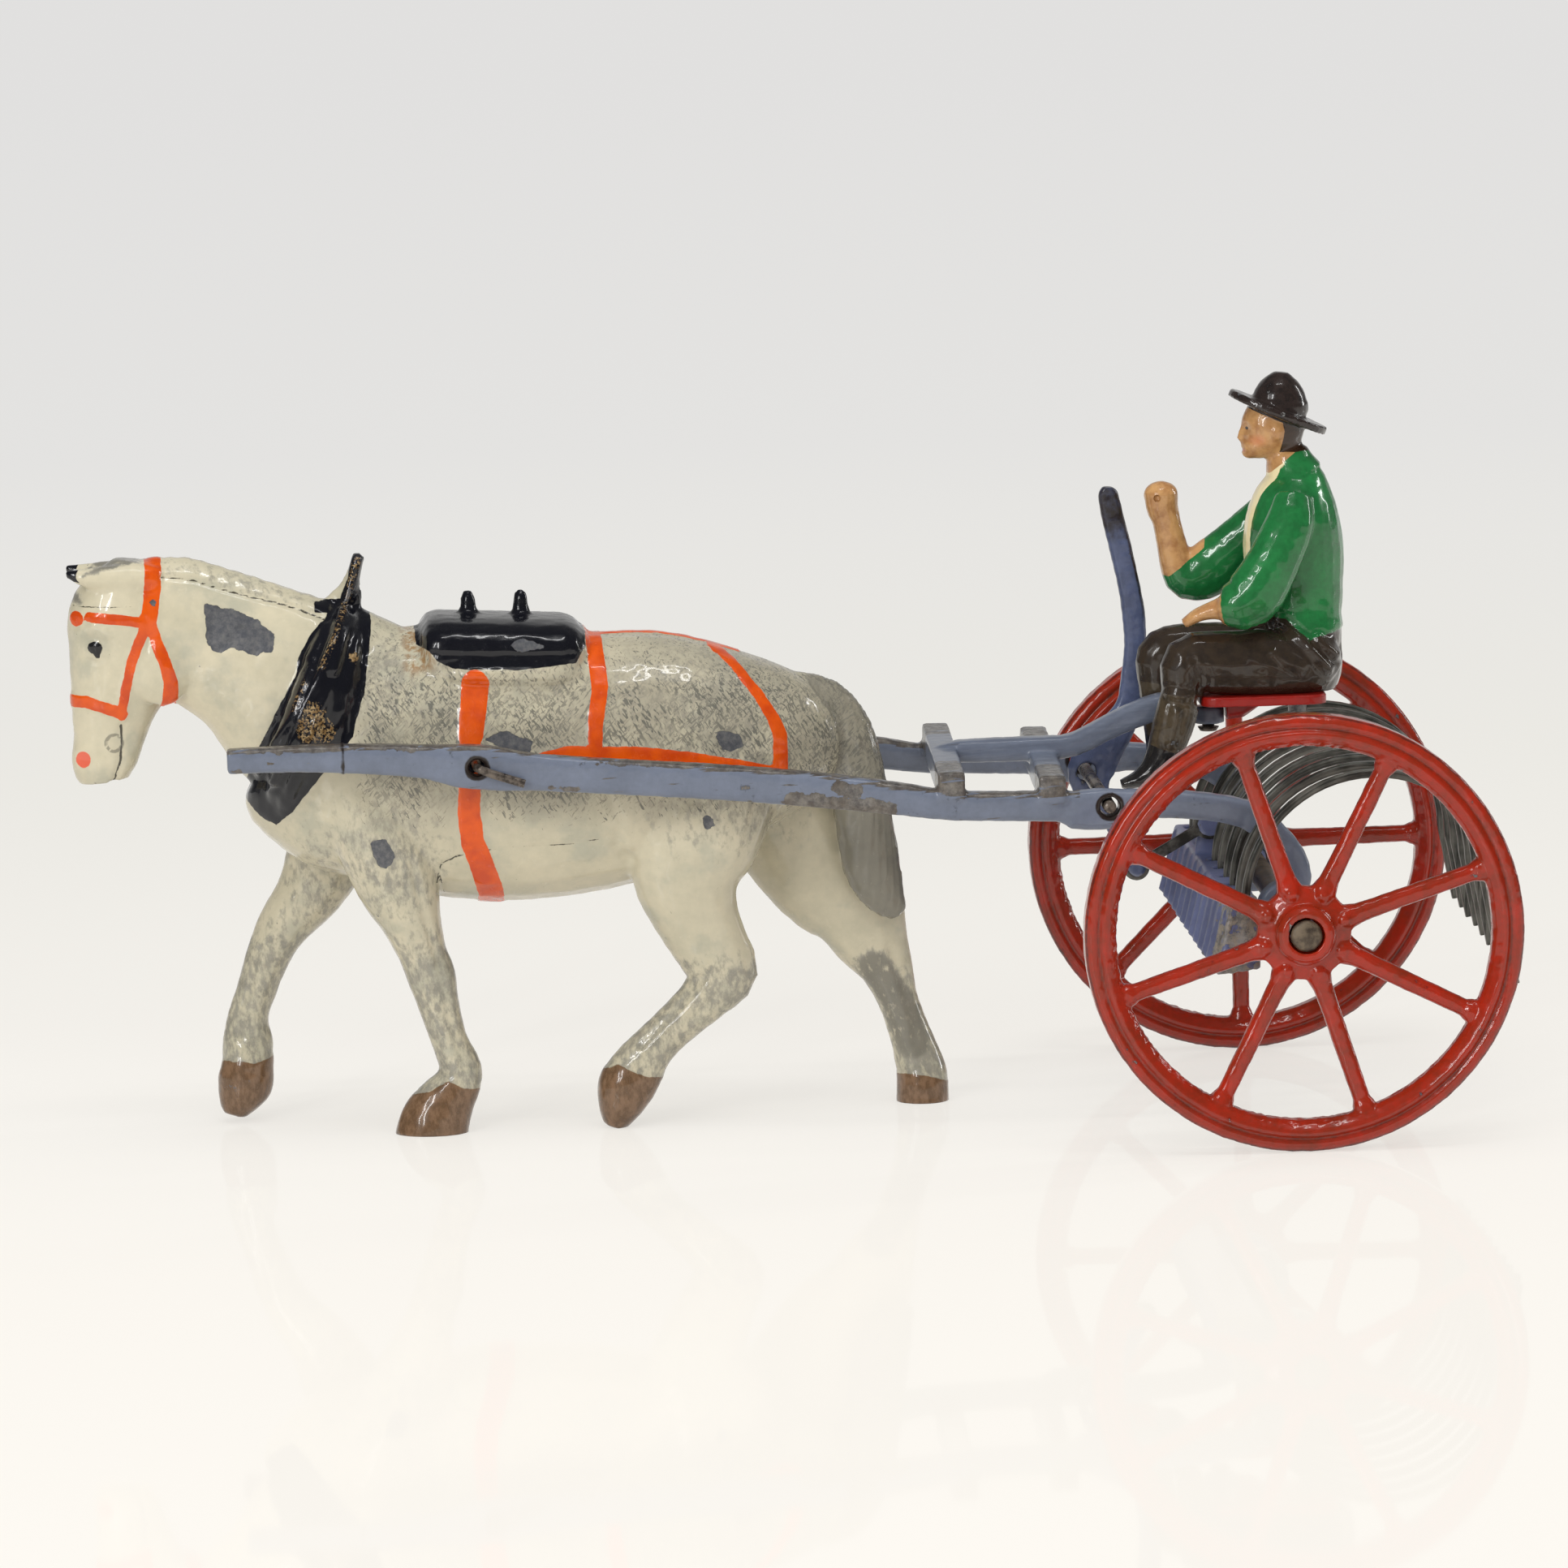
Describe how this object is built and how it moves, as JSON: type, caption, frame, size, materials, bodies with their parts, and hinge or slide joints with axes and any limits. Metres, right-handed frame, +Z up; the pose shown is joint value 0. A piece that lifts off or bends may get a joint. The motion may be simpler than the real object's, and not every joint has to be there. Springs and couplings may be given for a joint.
{
  "type": "toy horse rake",
  "caption": "Painted lead toy horse rake: horse pinned in shafts, spoked wheels on an axle, driver on a bar seat, and a hand lever that tips the curved tines.",
  "frame": {"origin": "on the ground, under the middle of the whole model", "axes": "+Z up, +X from the horse's head towards the rake's tines, +Y to the horse's right, which is the side away from the viewer"},
  "size_m": [0.138, 0.0674, 0.0713],
  "materials": {
    "horse_paint": "gloss, chipped and mottled grey",
    "frame_paint": "gloss slate blue over dull metal",
    "wire": "dull drawn wire",
    "wheel_paint": "gloss red, worn dark on the edges",
    "seat_paint": "gloss red",
    "rivet_metal": "dull",
    "figure_paint": "gloss green jacket over brown trousers",
    "lever_paint": "gloss dark slate blue",
    "link_metal": "dull tinned strip",
    "rake_paint": "worn blue over pitted metal",
    "tine_metal": "dark dull strip"
  },
  "bodies": {
    "frame": {"shaft_frame": "frame_paint", "axle": "frame_paint", "lever_rod": "wire", "horse_pin": "wire", "seat": "seat_paint", "seat_rivet": "rivet_metal", "driver": "figure_paint"},
    "horse_body": {"horse": "horse_paint"},
    "near_wheel": {"wheel_near": "wheel_paint"},
    "far_wheel": {"wheel_far": "wheel_paint"},
    "hand_lever": {"lever": "lever_paint"},
    "lever_link": {"link": "link_metal"},
    "rake": {"rake_head": "rake_paint", "tine_01": "tine_metal", "tine_02": "tine_metal", "tine_03": "tine_metal", "tine_04": "tine_metal", "tine_05": "tine_metal", "tine_06": "tine_metal", "tine_07": "tine_metal", "tine_08": "tine_metal", "tine_09": "tine_metal", "tine_10": "tine_metal"}
  },
  "joints": [
    {"name": "horse_hinge", "type": "hinge", "parent": "frame", "child": "horse_body", "pos_m": [-0.03032, 0, 0.0368], "axis": [0, 1, 0], "range_deg": [-5, 5]},
    {"name": "near_wheel_spin", "type": "hinge", "parent": "frame", "child": "near_wheel", "pos_m": [0.04728, -0.031, 0.021], "axis": [0, 1, 0], "continuous": true},
    {"name": "far_wheel_spin", "type": "hinge", "parent": "frame", "child": "far_wheel", "pos_m": [0.04728, 0.031, 0.021], "axis": [0, 1, 0], "continuous": true},
    {"name": "lever_pivot", "type": "hinge", "parent": "frame", "child": "hand_lever", "pos_m": [0.03018, 0.0074, 0.0317], "axis": [0, -1, 0], "range_deg": [0, 28]},
    {"name": "link_pivot", "type": "hinge", "parent": "hand_lever", "child": "lever_link", "pos_m": [0.03478, 0.00575, 0.0223], "axis": [0, 1, 0], "range_deg": [0, 34]},
    {"name": "rake_pivot", "type": "hinge", "parent": "frame", "child": "rake", "pos_m": [0.04728, 0, 0.021], "axis": [0, 1, 0], "range_deg": [0, 36.5]}
  ],
  "couplings": [
    {"joint": "rake_pivot", "follows": "lever_pivot", "ratio": 1.3},
    {"joint": "link_pivot", "follows": "lever_pivot", "ratio": 1.2}
  ]
}
